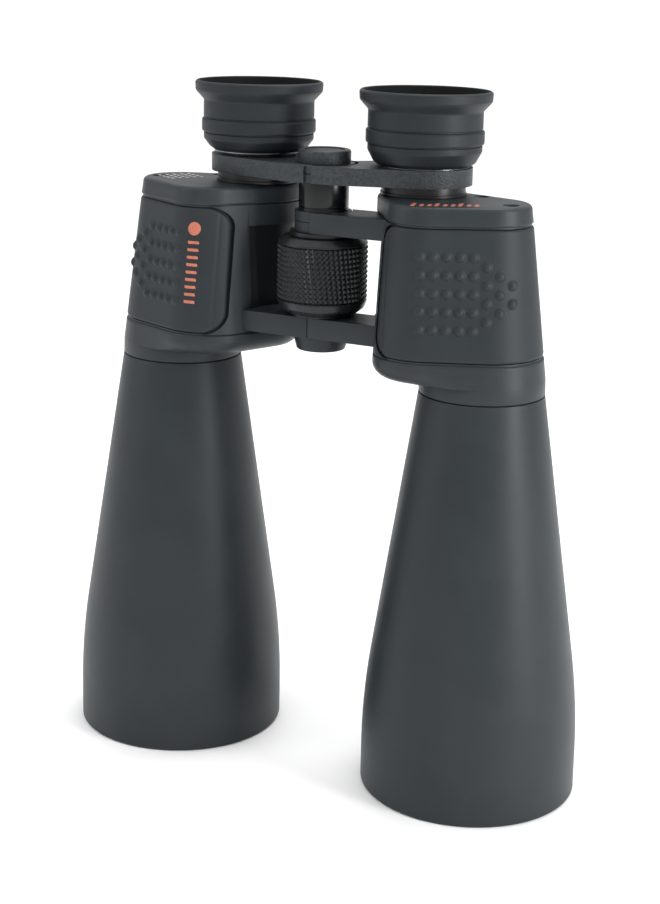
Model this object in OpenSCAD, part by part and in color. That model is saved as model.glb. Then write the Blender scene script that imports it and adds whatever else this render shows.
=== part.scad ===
// Large porro-prism binoculars for astronomy, standing on the objective ends with the eyepieces up.
// Millimetres. +Z runs from the objectives to the eyepieces, -Y is the side with the focus wheel,
// +X is the user's left half. The origin is on the ground, midway between the two barrels.

/* [Overall] */
// Height from the objective rims to the top of the eyecups
height = 270; // [262:1:300]
// Distance of each objective axis from the middle
barrel_x = 66.3; // [62:0.1:72]
// Distance of each eyepiece axis from the middle, binoculars fully open
eye_x = 36.06; // [33:0.1:38]
// Distance of the eyepiece axes behind the objective axes
eye_y = 7.9; // [5:0.1:10]
// Distance of the centre hinge in front of the objective axes
hinge_y = -4.9; // [-6:0.1:-4]

/* [Objective barrel] */
// Outer radius of the barrel at the objective
barrel_r = 42.15; // [40:0.1:46]
// Length of the straight front section
barrel_straight = 15; // [10:1:20]
// Length over which the straight section bends into the cone
barrel_blend = 40; // [30:1:50]
// Loss of radius for each millimetre of height on the cone
barrel_taper = 0.147; // [0.13:0.001:0.155]
// Wall of the barrel
barrel_wall = 2.4; // [1.8:0.1:3]
// Height of the joint between barrel and collar
barrel_top = 158.4; // [150:0.1:160]
// Radius of the objective lens
lens_r = 36; // [33:0.1:36.2]
// Depth of the lens behind the front rim
lens_recess = 20; // [14:1:24]

/* [Prism housing] */
// Top of the collar under the housing
collar_top = 164.4; // [162:0.1:166]
// Joint between the bottom cover and the housing
housing_bottom = 173.4; // [172:0.1:175]
// Joint between the housing and the top cover
housing_top = 223.2; // [222:0.1:225]
// Top face of the top cover
cover_top = 230.6; // [229:0.1:232]
// Outer radius of the housing round the objective axis, at the joint with the top cover
corner_r_top = 16.8; // [16.5:0.1:18]
// The same radius at the joint with the bottom cover
corner_r_bottom = 22.8; // [21:0.1:24]
// Outer radius of the housing round the middle of the light path, at the top joint
nose_r_top = 16; // [15.5:0.1:18]
// The same radius at the bottom joint
nose_r_bottom = 19.6; // [18:0.1:21]
// Outer radius of the housing round the eyepiece axis
eye_side_r = 17.5; // [17.3:0.1:18.5]
// Thickness of the rubber armour
armour_t = 2; // [1.6:0.1:2.2]
// Wall of the housing casting
housing_wall = 1.8; // [1.4:0.1:2]
// Distance of the inner edge of the armour from the middle
armour_edge_x = 32.3; // [31:0.1:34]
// Corner radius of the armour's inner edge
armour_corner_r = 8; // [5:0.5:9]

/* [Prisms] */
// Width of a prism
prism_w = 18; // [16:0.1:18.5]
// Thickness of the prism shelf
shelf_t = 2; // [1.6:0.1:2.4]
// Height of the middle of the prism shelf
shelf_z = 198.3; // [197:0.1:199]

/* [Hinge] */
// Distance of the arms' front face in front of the hinge axis
arm_front = 12.2; // [12:0.1:14]
// Distance of the arms' back face behind the hinge axis
arm_back = 7; // [5:0.5:8]
// Underside of the lower arms
lower_arm_z = 174.4; // [174:0.1:176]
// Thickness of the arms
arm_t = 8.1; // [7:0.1:9.5]
// Outer radius of the hinge tubes
hinge_tube_r = 9.7; // [8.5:0.1:9.9]
// Outer radius of the hinge knuckles
knuckle_r = 11.1; // [10.8:0.1:11.3]
// Radius of the tripod socket's thread bore
socket_r = 2.6; // [2.5:0.05:3.2]
// Depth of the tripod socket
socket_depth = 9; // [7:0.5:10]
// Lower face of the tripod boss
boss_z = 168.5; // [167:0.1:170]
// Upper radius of the tripod boss
boss_r = 10.8; // [10.2:0.1:12]

/* [Focusing] */
// Outer radius of the focus wheel
wheel_r = 17.6; // [16.5:0.1:19]
// Space between the lower arms and the focus wheel
wheel_gap_low = 1; // [0.8:0.1:2]
// Space between the focus wheel and the upper arms
wheel_gap_high = 1.9; // [1.2:0.1:3]
// Number of grip ridges round the wheel
wheel_ridges = 36; // [24:1:48]
// Radius of the focus spindle
spindle_r = 5; // [4:0.1:6]
// Underside of the bridge arms
bridge_z = 234.7; // [234:0.1:236]
// Thickness of the bridge arms
bridge_t = 6.7; // [6:0.1:7.5]
// Outer radius of the bridge rings round the eyepieces
bridge_ring_r = 18.6; // [18.2:0.1:20]
// Radius of the hinge cap
cap_r = 10.2; // [9.5:0.1:11]
// Height of the hinge cap
cap_h = 5.2; // [4:0.1:7]

/* [Eyepieces] */
// Outer radius of the fixed guide tube
guide_r = 16.5; // [16.2:0.1:16.6]
// Outer radius of the sliding eyepiece barrel
ocular_r = 14.4; // [13.8:0.1:14.4]
// Radius of the eyecup rim
cup_rim_r = 25.1; // [24:0.1:27]
// Radius of the eyecup body
cup_r = 22; // [21:0.1:23]
// Wall of the eyecup rim
cup_wall = 2.2; // [1.6:0.1:2.6]
// Radius of the eye lens
eye_lens_r = 11.5; // [10:0.1:12]

/* [Clearances] */
// Radial clearance of a running fit
run = 0.06; // [0.03:0.01:0.1]
// Clearance round a piece that is seated for good
seat = 0.05; // [0.02:0.01:0.1]
// Gap between moving pieces that only pass each other
pass = 0.3; // [0.2:0.05:0.4]

/* [Hidden] */
$fn = 96;
HULL_FN = 48;
LENS_FN = 400;
EPS = 0.01;
REACH = 400;

// The light path steps sideways twice by the same amount, at a right angle.
objective = [barrel_x, 0];
eye = [eye_x, eye_y];
eye_to_objective = (objective - eye) / 2;
nose = (objective + eye) / 2 + [eye_to_objective[1], -eye_to_objective[0]];
prism_step = norm(objective - nose);
housing_h = housing_top - housing_bottom;

// Barrel outline
blend_angle = atan(barrel_taper);
blend_r = barrel_blend / sin(blend_angle);
blend_end_r = barrel_r - blend_r * (1 - cos(blend_angle));
blend_end_z = barrel_straight + barrel_blend;
function cone_r(z) = blend_end_r - barrel_taper * (z - blend_end_z);
function blend_at(t) = [
    barrel_r - blend_r * (1 - cos(t * blend_angle)),
    barrel_straight + blend_r * sin(t * blend_angle)
];
BLEND_STEPS = 16;
rim_round = 1;
barrel_top_r = cone_r(barrel_top);
collar_r = barrel_top_r;
neck_r = collar_r - 4;

// Objective lens group, from the front rim backwards
cell_t = 2.4;
cell_r = lens_r + cell_t;
ledge_t = 2;
retainer_h = 3;
retainer_in = lens_r - 1.6;
crown_edge = 2.5;
flint_edge = 8.5;
crown_front_r = 165;
crown_back_r = 130;
crown_z = lens_recess + retainer_h;
flint_z = crown_z + crown_edge;
cell_top = flint_z + flint_edge + seat + ledge_t;

// Screws
screw_r = 1.5;
screw_head_r = 2.6;
screw_head_h = 1.8;
screw_l = 9;
post_r = 3.2;
cover_screw_at = [[barrel_x + 9.5, -2.5], [barrel_x - 8.8, 14.6]];
post_z = housing_top - 12;
plate_t = 3;

// Housing
cover_gap = 0.4;
cover_round = 1.6;
bottom_round = 4.5;
groove = 0.5;
window_back = 60;

// Hinge
arm_reach = armour_edge_x - groove;
seam = 0.12;
layer_gap = 0.1;
layer_h = arm_t / 2;
upper_arm_z = housing_top - arm_t;
lower_arm_top = lower_arm_z + arm_t;
wheel_z = lower_arm_top + wheel_gap_low;
wheel_top = upper_arm_z - wheel_gap_high;
journal_l = 3.4;
washer_r = 13;
washer_lower_t = wheel_z - lower_arm_top - 0.2;
washer_upper_t = upper_arm_z - wheel_top - 0.2;

// Focusing
focus_down = 3.5;
guide_bore_l = 5;
spindle_z = lower_arm_top + focus_down + 0.6;
bridge_top = bridge_z + bridge_t;
hub_r = 11.3;
hub_cavity_top = bridge_top - 1.4;
hub_ring_r = 13.4;
upper_tube_top = bridge_z + 1;
bridge_layer = bridge_t / 2;
bridge_front = 14.4;
bridge_gap = 1.6;
cap_disc_r = 7.4;
cap_disc_t = 0.8;
cap_round = 1;
wheel_rim = 3.2;
wheel_foot = 5.4;
ridge_depth = 0.7;

// Eyepieces
guide_top = bridge_z + 0.6;
guide_in = ocular_r + run;
ring_cavity_top = bridge_z + 0.6 + focus_down + 0.6;
ocular_bottom = housing_top;
fixed_cup_z = bridge_top + 0.5;
diopter_cup_z = bridge_top + 1.7;
cup_seat_top = 256;
cup_floor_z = 257;
ocular_top = cup_seat_top;
cell_bore = ocular_r - 1.4;
field_lens_z = 232;
eye_lens_z = 246;
tube_wall = 1.3;

// Puts a piece drawn on the user's left (side 1) on the user's right (side -1).
module on_side(side) mirror([side < 0 ? 1 : 0, 0, 0]) children();

module tube(r_out, r_in, z0, z1) {
    translate([0, 0, z0])
        difference() {
            cylinder(r = r_out, h = z1 - z0);
            translate([0, 0, -EPS]) cylinder(r = r_in, h = z1 - z0 + 2 * EPS);
        }
}

module disc(r, z0, z1) translate([0, 0, z0]) cylinder(r = r, h = z1 - z0);

// The housing wraps round three upright columns, one on each stretch of the light path.
columns = [objective, nose, eye];
bottom_radii = [corner_r_bottom, nose_r_bottom, eye_side_r];
top_radii = [corner_r_top, nose_r_top, eye_side_r];
function column_r(i, z) =
    bottom_radii[i] + (top_radii[i] - bottom_radii[i]) * (z - housing_bottom) / housing_h;

// The housing outline through a list of [height, inset] levels.
module outline_through(levels) {
    hull()
        for (i = [0 : 2], k = [0 : len(levels) - 2])
            translate([columns[i][0], columns[i][1], levels[k][0]])
                cylinder(
                    r1 = column_r(i, levels[k][0]) - levels[k][1],
                    r2 = column_r(i, levels[k + 1][0]) - levels[k + 1][1],
                    h = levels[k + 1][0] - levels[k][0],
                    $fn = HULL_FN);
}

// The housing outline between two heights, drawn inwards by inset.
module outline(z0, z1, inset) outline_through([[z0, inset], [z1, inset]]);

// A rounded window over the outer part of the housing, as seen from the front.
module armour_window(grow) {
    z0 = housing_bottom + grow_in(grow);
    z1 = housing_top - grow_in(grow);
    x0 = armour_edge_x - grow;
    r = armour_corner_r;
    translate([0, window_back, 0])
        rotate([90, 0, 0])
            linear_extrude(height = 2 * window_back)
                union() {
                    translate([x0 + r, z0]) square([REACH, z1 - z0]);
                    translate([x0, z0 + r]) square([r + EPS, z1 - z0 - 2 * r]);
                    translate([x0 + r, z0 + r]) circle(r = r);
                    translate([x0 + r, z1 - r]) circle(r = r);
                }
}
function grow_in(grow) = groove - grow;

// ---------------------------------------------------------------- objective end

module objective_tube(side) color("#3c3f42") on_side(side)
    translate([barrel_x, 0, 0])
        rotate_extrude()
            polygon(concat(
                [for (a = [0 : 15 : 90])
                    [barrel_r - rim_round * (1 - sin(a)), rim_round * (1 - cos(a))]],
                [for (i = [0 : BLEND_STEPS]) blend_at(i / BLEND_STEPS)],
                [[barrel_top_r, barrel_top],
                 [neck_r, barrel_top],
                 [neck_r, barrel_top - 6],
                 [cone_r(barrel_top - 12) - barrel_wall, barrel_top - 12],
                 [cone_r(blend_end_z) - barrel_wall, blend_end_z],
                 [lens_r - 1, cell_top + ledge_t + 3],
                 [lens_r - 1, cell_top],
                 [cell_r + seat, cell_top],
                 [cell_r + seat, 1],
                 [cell_r + seat + 1, 0]]));

module objective_cell(side) color("#2a2a2c") on_side(side)
    translate([barrel_x, 0, 0]) {
        tube(cell_r, lens_r + seat, lens_recess, cell_top - ledge_t);
        tube(cell_r, lens_r - 1, cell_top - ledge_t, cell_top);
    }

// Distance from a spherical face's centre to the plane of its edge, for a lens of radius lens_r.
function centre_offset(r) = sqrt(r * r - lens_r * lens_r);
// The retainer bears on the front face of the lens.
retainer_sag = sqrt(pow(crown_front_r, 2) - pow(retainer_in, 2)) - centre_offset(crown_front_r);
retainer_top = crown_z - retainer_sag - seat;

module crown_lens(side) color("#9fc4b8", 0.4) on_side(side)
    translate([barrel_x, 0, 0])
        intersection() {
            disc(lens_r, lens_recess, flint_z + flint_edge);
            translate([0, 0, crown_z + centre_offset(crown_front_r)])
                sphere(r = crown_front_r, $fn = LENS_FN);
            translate([0, 0, flint_z - seat - centre_offset(crown_back_r)])
                sphere(r = crown_back_r, $fn = LENS_FN);
        }

module flint_lens(side) color("#a5bfcf", 0.4) on_side(side)
    translate([barrel_x, 0, 0])
        difference() {
            disc(lens_r, flint_z, flint_z + flint_edge);
            translate([0, 0, flint_z - centre_offset(crown_back_r)]) sphere(r = crown_back_r, $fn = LENS_FN);
        }

module objective_retainer(side) color("#222224") on_side(side)
    translate([barrel_x, 0, 0])
        tube(lens_r, retainer_in, lens_recess + 0.4, retainer_top);

module barrel_collar(side) color("#36393c") on_side(side)
    translate([barrel_x, 0, 0]) {
        tube(collar_r, neck_r, barrel_top + cover_gap, collar_top);
        tube(collar_r - 1, neck_r, barrel_top, barrel_top + cover_gap);
    }

// ---------------------------------------------------------------- housing

module bottom_cover(side) color("#36393c") on_side(side)
    difference() {
        union() {
            outline_through([
                [collar_top, bottom_round * 0.6],
                [collar_top + bottom_round * 0.35, bottom_round * 0.2],
                [collar_top + bottom_round, 0],
                [housing_bottom - cover_gap, 0]]);
            outline(housing_bottom - cover_gap - 1, housing_bottom, groove);
        }
        outline(collar_top + 2, housing_bottom + 1, armour_t + housing_wall);
        translate([barrel_x, 0, 0]) disc(neck_r, collar_top - 1, housing_bottom);
    }

// One hinge arm in plan, from the seam to the housing.
module arm_plan() {
    difference() {
        translate([seam, hinge_y - arm_front]) square([arm_reach - seam, arm_front + arm_back]);
        translate([seam, hinge_y]) rotate(40) square([2 * arm_reach, 2 * arm_reach]);
        translate([seam, hinge_y]) rotate(90) square([2 * arm_reach, 2 * arm_reach]);
    }
    translate([knuckle_r, hinge_y]) square([arm_reach - knuckle_r, arm_back]);
}

// A hinge arm at height z. Its knuckle is in the lower or the upper layer, and it makes room
// for the knuckle of the other half in the other layer.
module hinge_arm(z, knuckle_low) {
    own_z = knuckle_low ? z : z + layer_h + layer_gap / 2;
    other_z = knuckle_low ? z + layer_h - layer_gap / 2 : z - EPS;
    own_h = layer_h - layer_gap / 2;
    other_h = layer_h + layer_gap / 2 + EPS;
    difference() {
        translate([0, 0, z]) linear_extrude(height = arm_t) arm_plan();
        translate([0, hinge_y, z - 1]) cylinder(r = knuckle_r - 0.2, h = arm_t + 2);
        translate([0, hinge_y, other_z]) cylinder(r = knuckle_r + pass, h = other_h);
    }
    bore_r = hinge_tube_r + (knuckle_low ? seat : run);
    translate([0, hinge_y, 0]) tube(knuckle_r, bore_r, own_z, own_z + own_h);
}

// The hollow of the housing, with a ledge under the prism shelf and room for the prisms.
module housing_hollow() {
    ledge_z = shelf_z - shelf_t / 2;
    outline(housing_bottom - 1, ledge_z - 1.4, armour_t + housing_wall);
    outline(ledge_z, housing_top + 1, armour_t + housing_wall);
    outline(ledge_z - 2, shelf_z, armour_t + housing_wall + 2);
    prism(objective, nose, 1, pass);
    prism(nose, eye, -1, pass);
    translate([eye_x, eye_y, 0]) disc(ocular_r + pass, ocular_bottom - focus_down - 0.6, housing_top + 1);
}

// The space that the focus wheel turns in.
module wheel_room() translate([0, hinge_y, 0]) disc(wheel_r + pass, wheel_z - pass, wheel_top + pass);

module prism_housing(side) color("#34373a") on_side(side)
    difference() {
        union() {
            difference() {
                outline(housing_bottom, housing_top, 0);
                difference() {
                    armour_window(groove);
                    outline(housing_bottom - 1, housing_top + 1, armour_t);
                }
            }
            hinge_arm(upper_arm_z, side > 0);
            hinge_arm(lower_arm_z, side > 0);
        }
        difference() {
            housing_hollow();
            cover_screw_places() disc(post_r, post_z, housing_top + 2);
        }
        cover_screw_places() disc(screw_r + seat, post_z + 3, cover_top);
        wheel_room();
    }

module rubber_armour(side) color("#303336") on_side(side)
    intersection() {
        armour_window(0);
        difference() {
            outline(housing_bottom - 1, housing_top + 1, 0);
            outline(housing_bottom - 1, housing_top + 1, armour_t - seat);
        }
    }

module top_cover(side) color("#36393c") on_side(side)
    difference() {
        union() {
            outline(housing_top, housing_top + cover_gap + 1, groove);
            outline_through([
                [housing_top + cover_gap, 0],
                [cover_top - cover_round, 0.2],
                [cover_top - cover_round * 0.35, cover_round * 0.35],
                [cover_top, cover_round]]);
        }
        outline(housing_top - 1, cover_top - plate_t, armour_t + housing_wall);
        translate([eye_x, eye_y, 0]) disc(guide_r - 0.6 + seat, housing_top - 1, cover_top + 1);
        cover_screw_places() disc(screw_head_r + 0.2, cover_top - screw_head_h, cover_top + 3);
        cover_screw_places() translate([0, 0, housing_top - 1]) cylinder(r = screw_r + seat, h = 10);
    }

// The two cover screws stand in posts on the outer wall, clear of the light path.
module cover_screw_places() {
    for (p = cover_screw_at)
        translate([p[0], p[1], 0]) children();
}

module cover_screws(side) color("#18181a") on_side(side)
    cover_screw_places() {
        difference() {
            disc(screw_head_r, cover_top - screw_head_h, cover_top - 0.3);
            translate([-0.5, -3, cover_top - 1]) cube([1, 6, 2]);
        }
        disc(screw_r, cover_top - screw_head_h - screw_l, cover_top - screw_head_h);
    }

// ---------------------------------------------------------------- prisms

module prism_shelf(side) color("#8c8f92") on_side(side)
    difference() {
        outline(shelf_z - shelf_t / 2 + seat, shelf_z + shelf_t / 2, armour_t + housing_wall + 0.2);
        for (p = [objective, nose, eye])
            translate([p[0], p[1], shelf_z - shelf_t]) cylinder(r = prism_w / 2 - 1, h = 2 * shelf_t);
    }

// A right-angle prism lying on its long face, from a to b, pointing up (dir 1) or down (dir -1).
module prism(a, b, dir, grow = 0) {
    mid = (a + b) / 2;
    turn = atan2(b[1] - a[1], b[0] - a[0]);
    l = prism_step + grow;
    w = prism_w + 2 * grow;
    translate([mid[0], mid[1], shelf_z + dir * (shelf_t / 2 + seat)])
        rotate([0, 0, turn])
            mirror([0, 0, dir < 0 ? 1 : 0])
                rotate([90, 0, 0])
                    translate([0, 0, -w / 2])
                        linear_extrude(height = w)
                            polygon([[-l, -grow], [l, -grow], [l, 0.8], [0.8, l], [-0.8, l], [-l, 0.8]]);
}

module upper_prism(side) color("#b9d2d8", 0.4) on_side(side) prism(objective, nose, 1);
module lower_prism(side) color("#b9d2d8", 0.4) on_side(side) prism(nose, eye, -1);

// A bent strap over the ridge of a prism.
module clip(a, b, dir) {
    mid = (a + b) / 2;
    turn = atan2(b[1] - a[1], b[0] - a[0]);
    l = prism_step;
    w = 5;
    t = 0.6;
    translate([mid[0], mid[1], shelf_z + dir * (shelf_t / 2 + seat)])
        rotate([0, 0, turn])
            mirror([0, 0, dir < 0 ? 1 : 0]) {
                translate([-w / 2, -prism_w / 2 - t - seat, l + seat])
                    cube([w, prism_w + 2 * t + 2 * seat, t]);
                for (s = [0, 1])
                    mirror([0, s, 0])
                        translate([-w / 2, prism_w / 2 + seat, 0]) cube([w, t, l + seat]);
            }
}

module prism_clips(side) color("#a8a8a4") on_side(side) {
    clip(objective, nose, 1);
    clip(nose, eye, -1);
}

// ---------------------------------------------------------------- eyepieces

module guide_tube(side) color("#1b1b1d") on_side(side)
    translate([eye_x, eye_y, 0]) {
        tube(guide_r, guide_in, cover_top, guide_top);
        tube(guide_r - 0.6, guide_in, housing_top + 0.6, cover_top);
    }

module ocular_barrel(side) color("#1f1f21") on_side(side)
    translate([eye_x, eye_y, 0])
        tube(ocular_r, cell_bore, ocular_bottom, side > 0 ? ocular_top : bridge_top + 8);

module right_lens_cell() color("#242426") on_side(-1)
    translate([eye_x, eye_y, 0]) {
        tube(cell_bore - run, cell_bore - 1.2, bridge_top - 8, ocular_top);
        tube(ocular_r, cell_bore - 1.2, bridge_top + 10.2, ocular_top);
    }

module lens_disc(r, z, t) {
    translate([0, 0, z]) cylinder(r = r, h = t);
}

module field_lens(side) color("#b5cfd6", 0.4) on_side(side)
    translate([eye_x, eye_y, 0])
        lens_disc(cell_bore - seat, side > 0 ? field_lens_z : bridge_top - 14, 5);

module eye_lens(side) color("#b5cfd6", 0.4) on_side(side)
    translate([eye_x, eye_y, 0])
        lens_disc(side > 0 ? cell_bore - seat : cell_bore - 1.2 - seat, eye_lens_z, 7);

module cup_ring(z0, z1) {
    tube(cup_r - 4.4, ocular_r + run, z0, z1);
}

module left_eyecup_ring() color("#5a5c5e") translate([eye_x, eye_y, 0])
    cup_ring(bridge_top + seat, fixed_cup_z - seat);

module right_diopter_ring() color("#5a5c5e") translate([-eye_x, eye_y, 0])
    cup_ring(bridge_top + 1.1, diopter_cup_z - seat);

// Eyecup outline, bottom to top: chamfered foot, taper, thin step, proud band, body, flared rim.
module eyecup(side) color("#232527") on_side(side) {
    z0 = side > 0 ? fixed_cup_z : diopter_cup_z;
    translate([eye_x, eye_y, 0])
        rotate_extrude()
            polygon([
                [ocular_r + seat, z0],
                [cup_r - 4.1, z0],
                [cup_r - 2.4, z0 + 1.3],
                [cup_r - 0.1, 247.5],
                [cup_r - 0.1, 250],
                [cup_r + 0.6, 250],
                [cup_r + 0.6, 255.4],
                [cup_r, 255.4],
                [cup_r, height - 7],
                [cup_rim_r, height - 3.5],
                [cup_rim_r + 0.15, height - 0.8],
                [cup_rim_r - 0.6, height],
                [cup_rim_r - 1.4, height - 0.3],
                [cup_r - cup_wall + 1, height - 6],
                [cup_r - cup_wall, height - 7.5],
                [cup_r - cup_wall, cup_floor_z + 2],
                [cup_r - cup_wall - 2, cup_floor_z],
                [eye_lens_r, cup_floor_z],
                [eye_lens_r, cup_seat_top],
                [ocular_r + seat, cup_seat_top]]);
}

// ---------------------------------------------------------------- hinge

module upper_hinge_tube() color("#0f0f11") translate([0, hinge_y, 0]) {
    tube(hinge_tube_r, spindle_r + run, wheel_top - journal_l + 0.4, upper_arm_z + guide_bore_l);
    tube(hinge_tube_r, hinge_tube_r - tube_wall, upper_arm_z + guide_bore_l, upper_tube_top);
}

module lower_hinge_tube() color("#0f0f11") translate([0, hinge_y, 0])
    tube(hinge_tube_r, spindle_r + 1, lower_arm_z, wheel_z + journal_l - 0.4);

module thrust_washers() color("#6c6e70") translate([0, hinge_y, 0]) {
    tube(washer_r, hinge_tube_r + 0.1, lower_arm_top, lower_arm_top + washer_lower_t);
    tube(washer_r, hinge_tube_r + 0.1, upper_arm_z - washer_upper_t, upper_arm_z);
}

module tripod_insert() color("#b08d57") translate([0, hinge_y, 0])
    tube(spindle_r + 1 - seat, socket_r, boss_z, boss_z + socket_depth);

module tripod_boss() color("#2e3032") translate([0, hinge_y, 0])
    difference() {
        translate([0, 0, boss_z]) cylinder(r1 = boss_r - 1.3, r2 = boss_r, h = lower_arm_z - boss_z);
        disc(spindle_r + 1, boss_z - 1, lower_arm_z + 1);
    }

// ---------------------------------------------------------------- focusing

module focus_wheel() color("#111113") translate([0, hinge_y, 0]) {
    grip_z0 = wheel_z + wheel_foot;
    grip_z1 = wheel_top - wheel_rim;
    difference() {
        rotate_extrude()
            polygon([
                [spindle_r + pass, wheel_z],
                [wheel_r - 3.2, wheel_z],
                [wheel_r - 1.1, wheel_z + 1.6],
                [wheel_r - 0.2, grip_z0],
                [wheel_r - ridge_depth, grip_z0],
                [wheel_r - ridge_depth, grip_z1],
                [wheel_r - 0.4, grip_z1],
                [wheel_r - 2.4, wheel_top],
                [spindle_r + pass, wheel_top]]);
        disc(hinge_tube_r + run, wheel_z - 1, wheel_z + journal_l);
        disc(hinge_tube_r + run, wheel_top - journal_l, wheel_top + 1);
    }
    for (i = [0 : wheel_ridges - 1])
        rotate([0, 0, i * 360 / wheel_ridges])
            translate([wheel_r - ridge_depth - 0.4, -0.6, grip_z0 - 0.3])
                cube([ridge_depth + 0.4, 1.2, grip_z1 - grip_z0 + 0.6]);
}

module focus_spindle() color("#85878a") translate([0, hinge_y, 0])
    disc(spindle_r, spindle_z, hub_cavity_top);

module bridge_hub() color("#1b1b1d") translate([0, hinge_y, 0]) {
    tube(hub_r, hinge_tube_r + pass, bridge_z, hub_cavity_top);
    disc(hub_r, hub_cavity_top, bridge_top);
}

module hinge_cap() color("#3a3d40") translate([0, hinge_y, 0])
    difference() {
        union() {
            disc(cap_r, bridge_top, bridge_top + cap_h - cap_round);
            translate([0, 0, bridge_top + cap_h - cap_round])
                cylinder(r1 = cap_r, r2 = cap_r - cap_round, h = cap_round);
        }
        disc(cap_disc_r + 0.4, bridge_top + cap_h - cap_disc_t - 0.3, bridge_top + cap_h + 1);
    }

module hinge_cap_disc() color("#3a3d40") translate([0, hinge_y, 0])
    disc(cap_disc_r, bridge_top + cap_h - cap_disc_t - 0.3, bridge_top + cap_h - 0.3);

// A bridge arm runs from the hub to the ring round the eyepiece.
module bridge_plan() {
    hull() {
        translate([bridge_gap, hinge_y - bridge_front]) square([8, 2]);
        translate([bridge_gap, hinge_y - 1]) square([2, 6]);
        translate([eye_x, eye_y]) circle(r = bridge_ring_r, $fn = 96);
    }
}

module bridge_arm(side) color("#3a3d40") on_side(side) {
    low = side < 0;
    own_z = low ? bridge_z : bridge_z + bridge_layer + layer_gap / 2;
    other_z = low ? bridge_z + bridge_layer - layer_gap / 2 : bridge_z - EPS;
    difference() {
        translate([0, 0, bridge_z]) linear_extrude(height = bridge_t) bridge_plan();
        translate([0, hinge_y, bridge_z - 1]) cylinder(r = hub_r + 0.5, h = bridge_t + 2);
        translate([0, hinge_y, 0])
            disc(hub_ring_r + pass, other_z, other_z + bridge_layer + layer_gap / 2 + EPS);
        translate([eye_x, eye_y, 0]) disc(guide_r + pass, bridge_z - 1, ring_cavity_top);
        translate([eye_x, eye_y, 0]) disc(ocular_r + seat, bridge_z, bridge_top + 1);
    }
    translate([0, hinge_y, 0]) tube(hub_ring_r, hub_r + run, own_z, own_z + bridge_layer - layer_gap / 2);
}

objective_tube(1);  // left_objective_tube
objective_tube(-1);  // right_objective_tube
objective_cell(1);  // left_objective_cell
objective_cell(-1);  // right_objective_cell
crown_lens(1);  // left_crown_lens
crown_lens(-1);  // right_crown_lens
flint_lens(1);  // left_flint_lens
flint_lens(-1);  // right_flint_lens
objective_retainer(1);  // left_objective_retainer
objective_retainer(-1);  // right_objective_retainer
barrel_collar(1);  // left_barrel_collar
barrel_collar(-1);  // right_barrel_collar
bottom_cover(1);  // left_bottom_cover
bottom_cover(-1);  // right_bottom_cover
prism_housing(1);  // left_prism_housing
prism_housing(-1);  // right_prism_housing
rubber_armour(1);  // left_rubber_armour
rubber_armour(-1);  // right_rubber_armour
top_cover(1);  // left_top_cover
top_cover(-1);  // right_top_cover
prism_shelf(1);  // left_prism_shelf
prism_shelf(-1);  // right_prism_shelf
upper_prism(1);  // left_upper_prism
upper_prism(-1);  // right_upper_prism
lower_prism(1);  // left_lower_prism
lower_prism(-1);  // right_lower_prism
prism_clips(1);  // left_prism_clips
prism_clips(-1);  // right_prism_clips
cover_screws(1);  // left_cover_screws
cover_screws(-1);  // right_cover_screws
guide_tube(1);  // left_guide_tube
guide_tube(-1);  // right_guide_tube
ocular_barrel(1);  // left_ocular_barrel
ocular_barrel(-1);  // right_ocular_barrel
field_lens(1);  // left_field_lens
field_lens(-1);  // right_field_lens
eye_lens(1);  // left_eye_lens
eye_lens(-1);  // right_eye_lens
left_eyecup_ring();
right_diopter_ring();
eyecup(1);  // left_eyecup
eyecup(-1);  // right_eyecup
right_lens_cell();
bridge_arm(1);  // left_bridge_arm
bridge_arm(-1);  // right_bridge_arm
upper_hinge_tube();
lower_hinge_tube();
thrust_washers();
tripod_insert();
tripod_boss();
focus_wheel();
focus_spindle();
bridge_hub();
hinge_cap();
hinge_cap_disc();
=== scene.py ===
import math

import bmesh
import bpy
import numpy as np
from mathutils import Matrix, Vector


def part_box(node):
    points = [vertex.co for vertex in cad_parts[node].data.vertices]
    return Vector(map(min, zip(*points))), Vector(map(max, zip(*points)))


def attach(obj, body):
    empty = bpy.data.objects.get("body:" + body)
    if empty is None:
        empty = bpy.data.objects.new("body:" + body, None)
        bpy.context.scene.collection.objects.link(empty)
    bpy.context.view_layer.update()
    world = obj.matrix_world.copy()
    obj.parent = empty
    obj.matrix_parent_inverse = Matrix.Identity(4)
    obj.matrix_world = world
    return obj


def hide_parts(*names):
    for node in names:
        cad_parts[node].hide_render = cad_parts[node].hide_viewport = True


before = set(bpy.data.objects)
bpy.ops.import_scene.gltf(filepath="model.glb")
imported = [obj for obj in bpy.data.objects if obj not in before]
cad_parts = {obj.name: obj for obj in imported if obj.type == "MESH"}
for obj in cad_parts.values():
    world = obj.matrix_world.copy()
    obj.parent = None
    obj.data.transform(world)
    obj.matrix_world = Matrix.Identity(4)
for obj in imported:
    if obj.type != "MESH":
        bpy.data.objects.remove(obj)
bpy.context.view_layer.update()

# Everything below is worked out in millimetres in the CAD frame and turned into metres at the end.
MM = 0.001
SIDES = {"left": 1, "right": -1}


# ---------- places from the CAD model

def box_mm(node):
    """Lowest and highest corner of a CAD node, in millimetres."""
    low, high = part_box(node)
    return np.array(low) / MM, np.array(high) / MM


tube_low, tube_high = box_mm("left_objective_tube")
cover_low, cover_high = box_mm("left_bottom_cover")
housing_low, housing_high = box_mm("left_prism_housing")
top_low, top_high = box_mm("left_top_cover")
cup_low, cup_high = box_mm("left_eyecup")
right_cup_low, _ = box_mm("right_eyecup")
bridge_low, bridge_high = box_mm("left_bridge_arm")
wheel_low, wheel_high = box_mm("focus_wheel")
cap_low, cap_high = box_mm("hinge_cap")
boss_low, boss_high = box_mm("tripod_boss")
guide_low, guide_high = box_mm("left_guide_tube")
armour_low, armour_high = box_mm("left_rubber_armour")

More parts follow.
